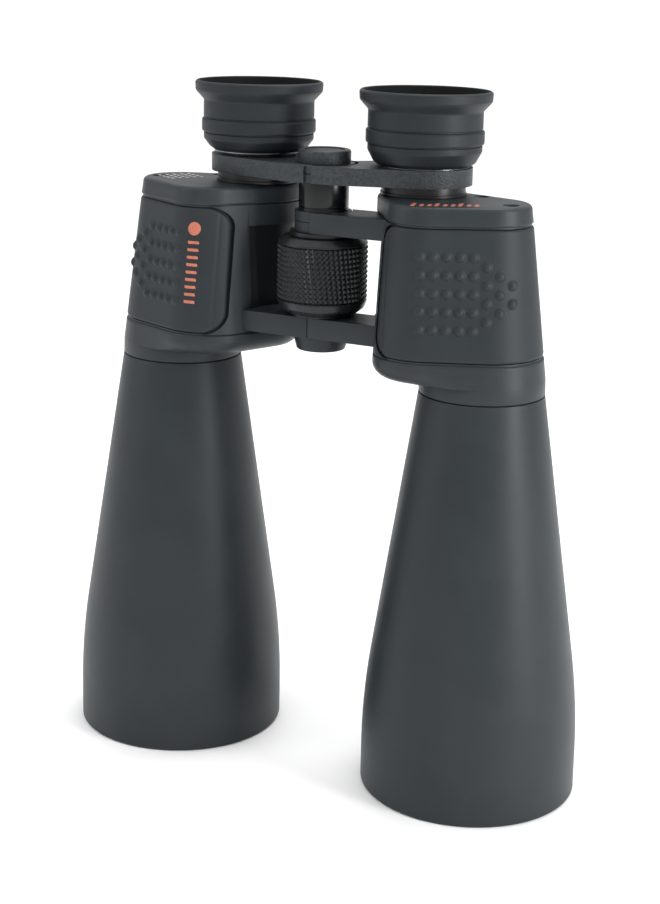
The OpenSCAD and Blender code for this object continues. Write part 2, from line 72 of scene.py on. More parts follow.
OBJECTIVE = (tube_low + tube_high)[:2] / 2
EYE = (cup_low + cup_high)[:2] / 2
HINGE = (wheel_low + wheel_high)[:2] / 2
half_step = (OBJECTIVE - EYE) / 2
NOSE = (OBJECTIVE + EYE) / 2 + np.array([half_step[1], -half_step[0]])

BARREL_R = (tube_high - tube_low)[0] / 2
BARREL_TOP = tube_high[2]
COLLAR_TOP = cover_low[2]
HOUSING_Z0, HOUSING_Z1 = housing_low[2], housing_high[2]
COVER_TOP = top_high[2]
EYECUP_TOP = cup_high[2]
BRIDGE_Z0, BRIDGE_Z1 = bridge_low[2], bridge_high[2]
WHEEL_R = (wheel_high - wheel_low)[0] / 2
WHEEL_Z0, WHEEL_Z1 = wheel_low[2], wheel_high[2]
CAP_R = (cap_high - cap_low)[0] / 2
CAP_TOP = cap_high[2]
BOSS_R = (boss_high - boss_low)[0] / 2
GUIDE_R = (guide_high - guide_low)[0] / 2
ARMOUR_EDGE_X = armour_low[0]

# Sizes of the visible shapes, as in the part's own design
ARMOUR_T = 2.0
ARMOUR_CORNER_R = 8.0
GROOVE = 0.5
COVER_GAP = 0.4
ARM_T = HOUSING_Z1 - (WHEEL_Z1 + 1.9)
ARM_FRONT_Y = HINGE[1] - 12.2
ARM_BACK_Y = HINGE[1] + 7.0
LOWER_ARM_Z = boss_high[2]
KNUCKLE_R = 11.1
HINGE_TUBE_R = 9.7
SEAM = 0.12
BARREL_STRAIGHT = 15.0
BARREL_BLEND = 40.0
BARREL_TAPER = 0.147
BRIDGE_RING_R = 18.6
OCULAR_R = 14.4
HUB_R = 11.3
HUB_RING_R = 13.4

JOINT_GAP = 0.05
WASHER_R = 13.0

COLUMNS = np.array([OBJECTIVE, EYE, NOSE])
RADII_LOW = np.array([22.8, 17.5, 19.6])
RADII_HIGH = np.array([16.8, 17.5, 16.0])


def column_radii(z):
    return RADII_LOW + (RADII_HIGH - RADII_LOW) * (z - HOUSING_Z0) / (HOUSING_Z1 - HOUSING_Z0)


# ---------- mesh helpers

SHARP = 35.0


def new_object(name, verts, faces, finish, smooth=SHARP):
    """A mesh object from millimetre points, shaded smooth up to the given edge angle in degrees."""
    mesh = bpy.data.meshes.new(name)
    mesh.from_pydata((np.asarray(verts, float) * MM).tolist(), [], [list(f) for f in faces])
    work = bmesh.new()
    work.from_mesh(mesh)
    bmesh.ops.remove_doubles(work, verts=work.verts, dist=1e-7)
    bmesh.ops.recalc_face_normals(work, faces=work.faces)
    work.to_mesh(mesh)
    work.free()
    mesh.shade_smooth()
    mesh.set_sharp_from_angle(angle=math.radians(smooth))
    mesh.materials.append(M[finish])
    obj = bpy.data.objects.new(name, mesh)
    bpy.context.scene.collection.objects.link(obj)
    return obj


def bake_modifiers(obj):
    """Replaces the object's mesh with the result of its modifiers."""
    graph = bpy.context.evaluated_depsgraph_get()
    mesh = bpy.data.meshes.new_from_object(obj.evaluated_get(graph))
    old = obj.data
    obj.modifiers.clear()
    obj.data = mesh
    bpy.data.meshes.remove(old)
    mesh.shade_smooth()
    mesh.set_sharp_from_angle(angle=math.radians(SHARP))
    return obj


def bevel(obj, width, segments=3, angle=40.0):
    """Rounds the object's sharp edges."""
    mod = obj.modifiers.new("edges", "BEVEL")
    mod.width = width * MM
    mod.segments = segments
    mod.limit_method = "ANGLE"
    mod.angle_limit = math.radians(angle)
    mod.use_clamp_overlap = True
    bake_modifiers(obj)
    work = bmesh.new()
    work.from_mesh(obj.data)
    bmesh.ops.remove_doubles(work, verts=work.verts, dist=2e-6)
    bmesh.ops.dissolve_degenerate(work, edges=work.edges, dist=1e-6)
    work.to_mesh(obj.data)
    work.free()
    return obj


def boolean(obj, tool, operation):
    """Cuts or joins a helper solid, which is then removed."""
    mod = obj.modifiers.new("cut", "BOOLEAN")
    mod.operation = operation
    mod.solver = "EXACT"
    mod.object = tool
    bake_modifiers(obj)
    bpy.data.objects.remove(tool, do_unlink=True)
    return obj


def join(objects):
    """Joins the objects' meshes into the first one."""
    first = objects[0]
    work = bmesh.new()
    for obj in objects:
        work.from_mesh(obj.data)
    work.to_mesh(first.data)
    work.free()
    for obj in objects[1:]:
        bpy.data.objects.remove(obj, do_unlink=True)
    first.data.shade_smooth()
    first.data.set_sharp_from_angle(angle=math.radians(SHARP))
    return first


def mirrored(points, side):
    """Points of the user's left half, moved to the half on the given side."""
    result = np.array(points, float)
    result[..., 0] *= side
    return result


def bands(count, rows):
    """Quads between closed rings of count points that follow one another in a list."""
    return [[row * count + k, row * count + (k + 1) % count, (row + 1) * count + (k + 1) % count,
             (row + 1) * count + k] for row in range(rows) for k in range(count)]


def stack(name, rings, finish, smooth=SHARP):
    """A closed solid through rings that have the same number of points."""
    count, last = len(rings[0]), len(rings) - 1
    faces = bands(count, last) + [list(range(count))[::-1], list(range(last * count, (last + 1) * count))]
    return new_object(name, [point for ring in rings for point in ring], faces, finish, smooth)


def rounded(corners, steps=6):
    """A profile with each (r, z, rounding) corner turned into an arc."""
    points = []
    count = len(corners)
    for i, corner in enumerate(corners):
        here = np.array(corner[:2], float)
        radius = corner[2] if len(corner) > 2 else 0
        if radius <= 0:
            points.append(here)
            continue
        back = np.array(corners[i - 1][:2], float) - here
        ahead = np.array(corners[(i + 1) % count][:2], float) - here
        back_length, ahead_length = np.linalg.norm(back), np.linalg.norm(ahead)
        back, ahead = back / back_length, ahead / ahead_length
        half = math.acos(float(np.clip(back @ ahead, -1, 1))) / 2
        if half > math.pi / 2 - 0.02:
            points.append(here)
            continue
        reach = min(radius / math.tan(half), back_length * 0.49, ahead_length * 0.49)
        radius = reach * math.tan(half)
        centre = here + (back + ahead) / np.linalg.norm(back + ahead) * radius / math.sin(half)
        start, end = here + back * reach - centre, here + ahead * reach - centre
        sweep = math.atan2(start[0] * end[1] - start[1] * end[0], start @ end)
        for k in range(steps + 1):
            turn = sweep * k / steps
            cos, sin = math.cos(turn), math.sin(turn)
            turned = cos * start[0] - sin * start[1], sin * start[0] + cos * start[1]
            points.append(centre + np.array(turned))
    return points


def revolve(name, profile, centre, finish, segments=160, smooth=SHARP):
    """A closed (r, z) profile turned about an upright axis. Points on the axis become poles."""
    profile = [np.array(p[:2], float) for p in profile]
    verts, rings = [], []
    for r, z in profile:
        if r < 1e-6:
            rings.append([len(verts)] * segments)
            verts.append((centre[0], centre[1], z))
            continue
        rings.append(list(range(len(verts), len(verts) + segments)))
        for k in range(segments):
            turn = 2 * math.pi * k / segments
            verts.append((centre[0] + r * math.cos(turn), centre[1] + r * math.sin(turn), z))
    faces = []
    for a, b in zip(rings, rings[1:] + rings[:1]):
        if a[0] == a[-1] and b[0] == b[-1]:
            continue
        for k in range(segments):
            n = (k + 1) % segments
            face = list(dict.fromkeys([a[k], a[n], b[n], b[k]]))
            if len(face) > 2:
                faces.append(face)
    return new_object(name, verts, faces, finish, smooth)


def extrude(name, outline, z0, z1, finish):
    """A flat outline extruded from z0 to z1."""
    return stack(name, [[(x, y, z) for x, y in outline] for z in (z0, z1)], finish)


def tube(name, inner, outer, z0, z1, centre, finish, corner, segments=128, steps=6):
    """An upright ring with rounded outer edges."""
    profile = [(inner, z0), (outer, z0, corner), (outer, z1, corner), (inner, z1)]
    return revolve(name, rounded(profile, steps), centre, finish, segments)


def arc(centre, radius, start, end, steps):
    """Points on an arc, with the angles in degrees."""
    return [
        (centre[0] + radius * math.cos(math.radians(t)), centre[1] + radius * math.sin(math.radians(t)))
        for t in np.linspace(start, end, steps + 1)
    ]


# ---------- the housing outline

def housing_ring(z, inset=0.0, arc_steps=40, line_steps=12):
    """The housing's outline at a height: three circles with straight walls between them,
    counter-clockwise from the objective column. Returns the points and their outward normals."""
    radii = column_radii(z) - inset
    tangents = []
    for i in range(3):
        j = (i + 1) % 3
        way = COLUMNS[j] - COLUMNS[i]
        length = np.linalg.norm(way)
        way = way / length
        lean = (radii[i] - radii[j]) / length
        normal = lean * way + math.sqrt(1 - lean * lean) * np.array([way[1], -way[0]])
        tangents.append(math.atan2(normal[1], normal[0]))
    points, normals = [], []
    for i in range(3):
        j = (i + 1) % 3
        start, end = tangents[i - 1], tangents[i]
        if end < start:
            end += 2 * math.pi
        for t in np.linspace(start, end, arc_steps + 1):
            normals.append((math.cos(t), math.sin(t)))
            points.append(COLUMNS[i] + radii[i] * np.array(normals[-1]))
        last = points[-1]
        goal = COLUMNS[j] + radii[j] * np.array([math.cos(tangents[i]), math.sin(tangents[i])])
        for k in range(1, line_steps):
            points.append(last + (goal - last) * k / line_steps)
            normals.append((math.cos(tangents[i]), math.sin(tangents[i])))
    return np.array(points), np.array(normals)


FADES = "fades"


def away_from_barrel(points, z):
    """0 beside the objective column, rising to 1 away from it."""
    gap = np.linalg.norm(points - OBJECTIVE, axis=1) - column_radii(z)[0]
    share = np.clip((gap - 0.5) / 13.0, 0, 1)
    return share * share * (3 - 2 * share)


def loft(name, levels, side, finish, smooth=SHARP):
    """A solid through the housing's outline at (height, inset) levels. The inset of a level that ends
    in FADES dies away beside the objective column."""
    rings = []
    for z, inset, *fades in levels:
        points, normals = housing_ring(z)
        share = away_from_barrel(points, z) if fades else np.ones(len(points))
        rings.append([(x * side, y, z) for x, y in points - normals * (inset * share)[:, None]])
    return stack(name, rings, finish, smooth)


def quarter(z, height, inset, steps=8, opening_up=True):
    """(height, inset) levels of a rounded edge of the given size, from the side wall to the flat face."""
    levels = []
    for k in range(steps + 1):
        t = math.pi / 2 * k / steps
        rise = height * math.sin(t)
        levels.append((z + rise if opening_up else z - rise, inset * (1 - math.cos(t))))
    return levels


# ---------- materials

def fill(tree, made, inputs):
    """Gives each named input its value, or the link from the output that stands in its place."""
    for socket, value in inputs.items():
        if isinstance(value, bpy.types.NodeSocket):
            tree.links.new(value, made.inputs[socket])
        else:
            made.inputs[socket].default_value = value


def node(tree, kind, inputs, **values):
    made = tree.nodes.new(kind)
    for key, value in values.items():
        setattr(made, key, value)
    fill(tree, made, inputs)
    return made


def noise(tree, coords, scale, detail=3.0, roughness=0.55, stretch=(1, 1, 1)):
    """A noise texture in object space, with its size as features per metre."""
    mapping = node(tree, "ShaderNodeMapping", {"Vector": coords, "Scale": stretch})
    return node(tree, "ShaderNodeTexNoise", {"Vector": mapping.outputs[0], "Scale": scale, "Detail": detail,
                                             "Roughness": roughness}).outputs["Fac"]


def span(tree, value, low, high, from_low=0.25, from_high=0.75):
    """Maps a texture value into a range."""
    return node(tree, "ShaderNodeMapRange", {"Value": value, "From Min": from_low, "From Max": from_high,
                                             "To Min": low, "To Max": high}).outputs[0]


def tones(tree, value, dark, light, from_low=0.3, from_high=0.7):
    """A colour between two tones."""
    ramp = node(tree, "ShaderNodeValToRGB", {"Fac": value})
    for stop, place_at, tone in zip(ramp.color_ramp.elements, (from_low, from_high), (dark, light)):
        stop.position = place_at
        stop.color = (*tone, 1)
    return ramp.outputs["Color"]


def bumps(tree, layers):
    """Stacks bump layers of (height value, depth in metres, strength)."""
    below = {}
    for height, depth, strength in layers:
        inputs = {"Height": height, "Distance": depth, "Strength": strength}
        made = node(tree, "ShaderNodeBump", inputs | below)
        below = {"Normal": made.outputs["Normal"]}
    return below["Normal"]


def new_material(name):
    made = bpy.data.materials.new(name)
    made.use_nodes = True
    tree = made.node_tree
    return made, tree, tree.nodes["Principled BSDF"], node(tree, "ShaderNodeTexCoord", {}).outputs["Object"]


def grained(name, dark, light, rough, grain_size, grain_depth, strength, specular, blotch_size=0.02):
    """Paint, plastic or rubber: mottled tone, a fine grain and uneven gloss. Sizes in metres."""
    made, tree, shader, coords = new_material(name)
    blotch = noise(tree, coords, 1 / blotch_size, 2.0)
    grain = noise(tree, coords, 1 / grain_size, 3.0, 0.6)
    fine = noise(tree, coords, 2.7 / grain_size, 2.0, 0.5)
    scaled = node(tree, "ShaderNodeMath", {0: blotch, 1: 0.55}, operation="MULTIPLY")
    parts = {0: grain, 1: 0.45, 2: scaled.outputs[0]}
    mixed = node(tree, "ShaderNodeMath", parts, operation="MULTIPLY_ADD").outputs[0]
    fill(tree, shader, {
        "Base Color": tones(tree, mixed, dark, light, 0.38, 0.62),
        "Roughness": span(tree, mixed, *rough, 0.35, 0.65),
        "Normal": bumps(tree, [(grain, grain_depth, strength), (fine, grain_depth * 0.4, strength)]),
        "Specular IOR Level": specular,
    })
    return made


def turned_metal(name, dark, light, rough, ring_size, metallic=1.0):
    """Metal turned on a lathe, with fine rings round its upright axis."""
    made, tree, shader, coords = new_material(name)
    rings = noise(tree, coords, 1 / ring_size, 2.0, 0.6, (0.02, 0.02, 1))
    smudge = noise(tree, coords, 180, 3.0)
    fill(tree, shader, {
        "Base Color": tones(tree, smudge, dark, light), "Roughness": span(tree, smudge, *rough),
        "Normal": bumps(tree, [(rings, 0.00002, 0.5)]), "Metallic": metallic,
    })
    return made


def coated_glass(name, tint, rough=0.02):
    """Lens glass with a tinted coating, uneven by the faintest smudges."""
    made, tree, shader, coords = new_material(name)
    smudge = noise(tree, coords, 60, 2.0)
    lighter = tuple(min(1.0, c * 1.15) for c in tint)
    fill(tree, shader, {
        "Base Color": tones(tree, smudge, tint, lighter),
        "Roughness": span(tree, smudge, rough, rough + 0.03),
        "Normal": bumps(tree, [(smudge, 0.000005, 0.1)]), "IOR": 1.55, "Transmission Weight": 0.85,
        "Coat Weight": 0.6, "Coat Tint": (0.55, 0.75, 0.62, 1),
    })
    return made


def knurled_black(name):
    """The focus wheel's glossy black plastic, with fine random scuffs all over."""
    made, tree, shader, coords = new_material(name)
    scuff = noise(tree, coords, 700, 4.0, 0.65)
    dust = noise(tree, coords, 90, 2.0)
    fill(tree, shader, {
        "Base Color": tones(tree, scuff, (0.0075, 0.0088, 0.0100), (0.0150, 0.0172, 0.0190)),
        "Roughness": span(tree, dust, 0.24, 0.34), "Normal": bumps(tree, [(scuff, 0.00002, 0.35)]),
        "Specular IOR Level": 0.34,
    })
    return made


def print_ink(name, dark, light):
    """Printed marks with slightly broken ink."""
    made, tree, shader, coords = new_material(name)
    broken = noise(tree, coords, 1600, 3.0)
    fill(tree, shader, {
        "Base Color": tones(tree, broken, dark, light), "Roughness": span(tree, broken, 0.45, 0.6),
        "Normal": bumps(tree, [(broken, 0.00002, 0.3)]),
    })
    return made


# Each finish: its material's name, then its maker's own values: dark and light tone, roughness range,
# and for grained ones the grain's size and depth, the bump's strength, specular level and blotch size.
FINISHES = {
    grained: {
        "barrel": ("barrel_paint", (0.0165, 0.0212, 0.0248), (0.0205, 0.0258, 0.0298), (0.40, 0.48),
                   0.0005, 0.00004, 0.5, 0.25),
        "housing": ("housing_paint", (0.0165, 0.0210, 0.0246), (0.0225, 0.0276, 0.0316), (0.38, 0.48),
                    0.0005, 0.00005, 0.6, 0.27),
        "bridge": ("bridge_paint", (0.0150, 0.0192, 0.0225), (0.0310, 0.0372, 0.0420), (0.32, 0.44),
                   0.0007, 0.00024, 1.0, 0.32, 0.0014),
        "armour": ("armour_rubber", (0.0155, 0.0200, 0.0235), (0.0192, 0.0243, 0.0282), (0.46, 0.54),
                   0.0004, 0.00003, 0.5, 0.24),
        "eyecup": ("eyecup_rubber", (0.0118, 0.0156, 0.0188), (0.0150, 0.0194, 0.0230), (0.44, 0.54),
                   0.0006, 0.00003, 0.5, 0.24),
        # The eyecup's inner wall: near-black painted shade, much darker than the eyecup rubber itself.
        "inside": ("eyecup_inside", (0.0022, 0.0024, 0.0026), (0.0034, 0.0036, 0.0040), (0.60, 0.75),
                   0.0006, 0.00003, 0.5, 0.1),
        "black": ("black_anodised", (0.0060, 0.0066, 0.0072), (0.0100, 0.0108, 0.0118), (0.28, 0.40),
                  0.0003, 0.00002, 0.4, 0.4),
        "gloss": ("gloss_black", (0.0040, 0.0046, 0.0054), (0.0060, 0.0068, 0.0078), (0.20, 0.24),
                  0.0030, 0.00001, 0.1, 0.35),
        # The casting's inner step: near-black painted shade for its cut faces, where shadow falls between the
        # hinge arms.
        "recess": ("recess_paint", (0.0040, 0.0050, 0.0058), (0.0075, 0.0088, 0.0100), (0.45, 0.60),
                   0.0005, 0.00005, 0.6, 0.2),
    },
    knurled_black: {"wheel": ("wheel_black",)},
    turned_metal: {
        "bright": ("bright_ring", (0.13, 0.135, 0.14), (0.24, 0.245, 0.25), (0.25, 0.38), 0.0002),
        "metal": ("bare_metal", (0.35, 0.35, 0.36), (0.52, 0.52, 0.53), (0.30, 0.42), 0.0004),
        "spring": ("spring_steel", (0.30, 0.30, 0.30), (0.46, 0.46, 0.45), (0.28, 0.40), 0.0005),
        "screw": ("black_steel", (0.012, 0.012, 0.013), (0.03, 0.03, 0.032), (0.28, 0.40), 0.0002, 0.6),
        "spindle": ("spindle_steel", (0.38, 0.38, 0.40), (0.56, 0.56, 0.58), (0.2, 0.3), 0.0003),
        "brass": ("socket_brass", (0.48, 0.34, 0.14), (0.66, 0.48, 0.22), (0.25, 0.38), 0.0003),
    },
    coated_glass: {
        "lens": ("lens_glass", (0.62, 0.80, 0.72)),
        "prism": ("prism_glass", (0.72, 0.84, 0.84), 0.04),
    },
    print_ink: {
        "copper": ("copper_print", (0.36, 0.095, 0.055), (0.52, 0.165, 0.10)),
        "pale": ("pale_print", (0.40, 0.36, 0.33), (0.60, 0.56, 0.52)),
    },
}
M = {finish: maker(*row) for maker, rows in FINISHES.items() for finish, row in rows.items()}
# Material names by finish, with the printed marks listed under the material of the surface that they lie on.
# Nothing reads this table.
SLOT = {finish: row[0] for rows in FINISHES.values() for finish, row in rows.items()}
SLOT.update(copper="armour_rubber", pale="housing_paint")


def place(obj, body, finish, *nodes):
    """Rides a finished piece on its body and the CAD nodes that it stands for."""
    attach(obj, body)
    if nodes:
        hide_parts(*nodes)
    return obj


# ---------- objective barrels

BLEND_ANGLE = math.atan(BARREL_TAPER)
BLEND_RADIUS = BARREL_BLEND / math.sin(BLEND_ANGLE)
CONE_START_R = BARREL_R - BLEND_RADIUS * (1 - math.cos(BLEND_ANGLE))
CONE_START_Z = BARREL_STRAIGHT + BARREL_BLEND


def at(centre, side):
    """A centre on the user's left half, moved to the half on the given side."""
    return centre[0] * side, centre[1]


def cone_radius(z):
    return CONE_START_R - BARREL_TAPER * (z - CONE_START_Z)


def barrel_profile():
    """Outer wall from the rim up to the collar joint, then back down inside with light baffles."""
    outer = [(BARREL_R - 2.4, 0.0, 0.5), (BARREL_R, 0.0, 1.3)]
    for turn in np.linspace(0, BLEND_ANGLE, 25):
        outer.append((BARREL_R - BLEND_RADIUS * (1 - math.cos(turn)),
                      BARREL_STRAIGHT + BLEND_RADIUS * math.sin(turn)))
    top_r = cone_radius(BARREL_TOP)
    outer += [(top_r, BARREL_TOP, 0.35), (top_r - 2.6, BARREL_TOP), (top_r - 2.6, BARREL_TOP - 8)]
    inner_r = BARREL_R - 3.7
    outer += [(cone_radius(CONE_START_Z) - 2.6, CONE_START_Z), (inner_r, 42.0), (inner_r, 20.0)]
    for z in np.arange(19.0, 4.0, -1.0):
        groove_r = inner_r + 0.35
        outer += [(inner_r, z, 0.05), (groove_r, z - 0.25), (groove_r, z - 0.6), (inner_r, z - 0.85)]
    outer += [(inner_r, 3.2), (inner_r + 0.5, 2.2)]
    return rounded(outer, 6)


def objective_barrel(name, side):
    centre = at(OBJECTIVE, side)
    shell = revolve(f"{name}_barrel_shell", barrel_profile(), centre, "barrel", 256, 30)
    place(shell, f"{name}_half", "barrel", f"{name}_objective_tube")
    top_r, wide_r = cone_radius(BARREL_TOP), column_radii(COLLAR_TOP)[0]
    neck, joint = top_r - 4, BARREL_TOP + COVER_GAP
    profile = rounded([(neck, BARREL_TOP + 0.05), (top_r - 0.9, BARREL_TOP + 0.05), (top_r - 0.9, joint),
                       (top_r, joint, 0.3), (wide_r, COLLAR_TOP), (wide_r - 0.05, COLLAR_TOP + 0.4),
                       (neck, COLLAR_TOP + 0.4)])
    collar = revolve(f"{name}_collar_ring", profile, centre, "housing", 200, 30)
    place(collar, f"{name}_half", "housing", f"{name}_barrel_collar")


# ---------- prism housing

WALL = 3.8
SCREW_PLACES = [(OBJECTIVE[0] + 9.5, -2.5), (OBJECTIVE[0] - 8.8, 14.6)]
SCREW_SINK = 1.8
SCREW_HEAD_R = 2.6


def hollow(obj, side, z0, z1):
    """Cuts the inside of the housing out of a piece, between two heights."""
    tool = loft("hollow", [(z0, WALL), ((z0 + z1) / 2, WALL), (z1, WALL)], side, "housing")
    boolean(obj, tool, "DIFFERENCE")


def bore(obj, centre, radius, z0, z1, segments=128):
    """Cuts an upright round hole."""
    tool = revolve("bore", [(0, z0), (radius, z0), (radius, z1), (0, z1)], centre, "housing", segments)
    boolean(obj, tool, "DIFFERENCE")


def bottom_cover(name, side):
    rim = HOUSING_Z0 - COVER_GAP
    levels = [(z, inset, FADES) for z, inset in quarter(COLLAR_TOP + 6.2, 6.2, 7.0, 14, False)[::-1]]
    levels += [(rim - 1.5, 0.0), (rim - 0.5, -0.06), (rim - 0.42, -0.03), (rim - 0.05, 0.32), (rim, 0.4),
               (rim, GROOVE + 0.25), (HOUSING_Z0 + 0.3, GROOVE + 0.25)]
    cover = loft(f"{name}_lower_cover", levels, side, "housing", 32)
    hollow(cover, side, COLLAR_TOP + 2, HOUSING_Z0 + 1)
    bore(cover, at(OBJECTIVE, side), cone_radius(BARREL_TOP) - 4, COLLAR_TOP - 1, HOUSING_Z0)
    place(cover, f"{name}_half", "housing", f"{name}_bottom_cover")


def top_cover(name, side):
    round_h = 1.7
    rim = HOUSING_Z1 + COVER_GAP
    levels = [(HOUSING_Z1 - 0.3, GROOVE + 0.25), (rim, GROOVE + 0.25), (rim, 0.4), (rim + 0.05, 0.32),
              (rim + 0.45, -0.03), (rim + 0.55, -0.06), (rim + 1.3, 0.0), (rim + 3.0, 0.05)]
    levels += [(z, 0.05 + inset) for z, inset in quarter(COVER_TOP - round_h, round_h, round_h, 8)]
    cover = loft(f"{name}_upper_cover", levels, side, "housing", 32)
    hollow(cover, side, HOUSING_Z1 - 1, COVER_TOP - 3)
    bore(cover, at(EYE, side), GUIDE_R - 0.5, HOUSING_Z1 - 1, COVER_TOP + 2)
    for x, y in SCREW_PLACES:
        floor = COVER_TOP - SCREW_SINK
        profile = [(0, floor), (2.85, floor), (2.95, COVER_TOP - 0.4), (3.4, COVER_TOP + 0.1),
                   (3.4, COVER_TOP + 2), (0, COVER_TOP + 2)]
        recess = revolve("recess", profile, (x * side, y), "housing", 48)
        boolean(cover, recess, "DIFFERENCE")
    place(cover, f"{name}_half", "housing", f"{name}_top_cover")


def cover_screws(name, side):
    """Slotted pan heads in their recesses."""
    heads = []
    for x, y in SCREW_PLACES:
        z = COVER_TOP - SCREW_SINK
        head = [(0, z), (SCREW_HEAD_R - 0.15, z), (SCREW_HEAD_R, z + 0.9, 0.5), (0, z + 1.35)]
        head = revolve("head", rounded(head), (x * side, y), "screw", 48)
        turn = Matrix.Rotation(math.radians(35), 4, "Z")
        slot = extrude("slot", [(-3, -0.35), (3, -0.35), (3, 0.35), (-3, 0.35)], z + 0.75, z + 3, "screw")
        slot.data.transform(Matrix.Translation(Vector((x * side, y, 0)) * MM) @ turn)
        heads.append(boolean(head, slot, "DIFFERENCE"))
    place(join(heads), f"{name}_half", "screw", f"{name}_cover_screws")


def window_tool(side):
    """The rounded window that the armour and its groove fill, as a block from front to back."""
    radius = ARMOUR_CORNER_R
    far = 140
    bend = ARMOUR_EDGE_X - GROOVE + radius
    outline = [(far, HOUSING_Z0 - 2), (bend, HOUSING_Z0 - 2), (bend, HOUSING_Z0)]
    outline += arc((bend, HOUSING_Z0 + radius), radius, -90, -180, 16)[1:]
    outline += arc((bend, HOUSING_Z1 - radius), radius, 180, 90, 16)
    outline += [(bend, HOUSING_Z1 + 2), (far, HOUSING_Z1 + 2)]
    return stack("window", [[(x * side, y, z) for x, z in outline] for y in (-60, 60)], "housing")


def hinge_arm(name, side, z0, knuckle_low):
    """A hinge arm with its half-height knuckle, and room for the other half's knuckle."""
    middle = z0 + ARM_T / 2
    x_end = ARMOUR_EDGE_X - GROOVE + 1.0
    layers = []
    for low, high, own in ((z0, middle, knuckle_low), (middle, z0 + ARM_T, not knuckle_low)):
        radius = KNUCKLE_R - 0.2 if own else KNUCKLE_R + 0.3
        back = math.degrees(math.asin((ARM_BACK_Y - HINGE[1]) / radius))
        front = -math.degrees(math.acos(SEAM / radius))
        outline = [(SEAM, ARM_FRONT_Y), (x_end, ARM_FRONT_Y), (x_end, ARM_BACK_Y)]
        outline += arc(HINGE, radius, back, front, 28)
        layer = extrude(f"{name}_arm_layer", [(x * side, y) for x, y in outline], low, high, "housing")
        layers.append(layer)
        if own:
            ring_low = low if knuckle_low else low + JOINT_GAP
            ring_high = high - JOINT_GAP if knuckle_low else high
            inner = HINGE_TUBE_R + 0.1
            layers.append(tube("knuckle", inner, KNUCKLE_R, ring_low, ring_high, HINGE, "housing", 0.3, 96))
    layers[0] = boolean(layers[0], layers.pop(1 if not knuckle_low else 2), "UNION")
    layers[0] = bevel(layers[0], 0.45, 3, 50)
    return layers


STEP_X = 27.9
STEP_DEPTH = 2.5


def inner_step(side):
    """The room cut from the casting's inner side, between the hinge arms. Its cut faces carry a near-black painted
    shade.
    """
    levels = (LOWER_ARM_Z + ARM_T, HOUSING_Z1 - ARM_T)
    rings = [housing_ring(z, STEP_DEPTH, 80, 30)[0] for z in levels]
    inner = [i for i in range(len(rings[0])) if rings[0][i][0] + rings[1][i][0] < 2 * STEP_X]
    corners = [(STEP_X, -40), (0, -40), (0, 40), (STEP_X, 40)]
    outlines = [[(x * side, y, z) for x, y in [*ring[inner], *corners]] for ring, z in zip(rings, levels)]
    tool = stack("step", outlines, "housing")
    tool.data.materials.append(M["recess"])
    tool.data.polygons.foreach_set("material_index", [1] * len(tool.data.polygons))
    return tool


def clear_inside(piece, side):
    """Keeps a piece out of the housing's inside and the eyepiece's way."""
    hollow(piece, side, HOUSING_Z0 - 1, HOUSING_Z1 + 1)
    bore(piece, at(EYE, side), OCULAR_R + 0.2, HOUSING_Z1 - 5, HOUSING_Z1 + 2)


def housing_casting(name, side):
    """The casting shows at the inner side, in the groove round the armour and as the arms."""
    levels = [(z, 0.0) for z in (HOUSING_Z0, HOUSING_Z0 + 12, HOUSING_Z0 + 25, HOUSING_Z0 + 37, HOUSING_Z1)]
    shell = loft(f"{name}_casting", levels, side, "housing")
    boolean(shell, window_tool(side), "DIFFERENCE")
    levels = [(z, ARMOUR_T) for z in (HOUSING_Z0 + 0.05, HOUSING_Z0 + 25, HOUSING_Z1 - 0.05)]
    core = loft("core", levels, side, "housing")
    boolean(shell, core, "UNION")
    clear_inside(shell, side)
    # Second slot: the near-black painted shade for the inner step's cut faces.
    shell.data.materials.append(M["recess"])
    boolean(shell, inner_step(side), "DIFFERENCE")
    shell = bevel(shell, 0.35, 3, 40)
    arms = hinge_arm(name, side, HOUSING_Z1 - ARM_T, side > 0) + hinge_arm(name, side, LOWER_ARM_Z, side > 0)
    for arm in arms:
        clear_inside(arm, side)
    shell = join([shell] + arms)
    place(shell, f"{name}_half", "housing", f"{name}_prism_housing")


# ---------- rubber armour

